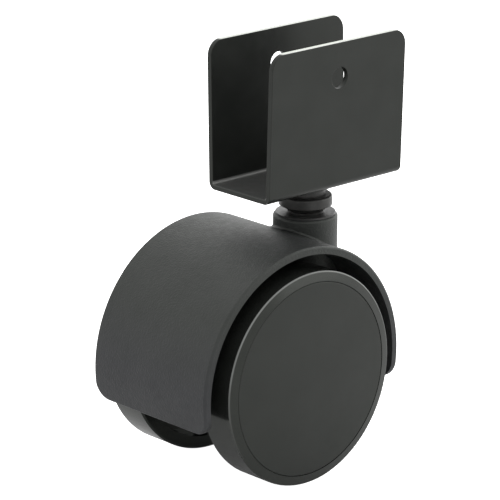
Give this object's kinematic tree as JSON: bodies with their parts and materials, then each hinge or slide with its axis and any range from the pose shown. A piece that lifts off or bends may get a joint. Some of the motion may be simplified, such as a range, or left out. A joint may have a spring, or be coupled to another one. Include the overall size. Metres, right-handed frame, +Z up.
{
  "type": "twin-wheel furniture caster",
  "caption": "Twin-wheel swivel caster with an arched hood and a U-shaped steel clamp bracket for a board edge.",
  "frame": {"origin": "on the swivel axis, in the plane of the bracket's channel floor", "axes": "+Z up along the swivel axis, +Y along the wheel axle and the cross bolt, the wheels trail towards -X"},
  "size_m": [0.0696, 0.044, 0.0982],
  "materials": {
    "bracket_steel": "satin black coating on folded steel sheet",
    "stem_steel": "black oxide coated turned steel",
    "ring_steel": "spring steel",
    "axle_steel": "bright drawn steel",
    "housing_nylon": "black moulded nylon with a fine grain",
    "bush_plastic": "smooth black bearing plastic",
    "wheel_nylon": "smooth glossy black nylon",
    "cover_nylon": "smooth satin black nylon"
  },
  "bodies": {
    "bracket": {"u_bracket": "bracket_steel", "swivel_stem": "stem_steel", "stem_snap_ring": "ring_steel"},
    "swivel_housing": {"housing": "housing_nylon", "stem_bush": "bush_plastic", "thrust_disc": "axle_steel", "axle": "axle_steel", "near_axle_washer": "axle_steel", "far_axle_washer": "axle_steel", "near_push_nut": "ring_steel", "far_push_nut": "ring_steel"},
    "near_wheel_body": {"near_wheel": "wheel_nylon", "near_wheel_cover": "cover_nylon"},
    "far_wheel_body": {"far_wheel": "wheel_nylon", "far_wheel_cover": "cover_nylon"}
  },
  "joints": [
    {"name": "swivel", "type": "hinge", "parent": "bracket", "child": "swivel_housing", "pos_m": [0, 0, -0.00885], "axis": [0, 0, 1], "continuous": true},
    {"name": "near_wheel_spin", "type": "hinge", "parent": "swivel_housing", "child": "near_wheel_body", "pos_m": [-0.0181, -0.016, -0.0399], "axis": [0, 1, 0], "continuous": true},
    {"name": "far_wheel_spin", "type": "hinge", "parent": "swivel_housing", "child": "far_wheel_body", "pos_m": [-0.0181, 0.016, -0.0399], "axis": [0, 1, 0], "continuous": true}
  ]
}
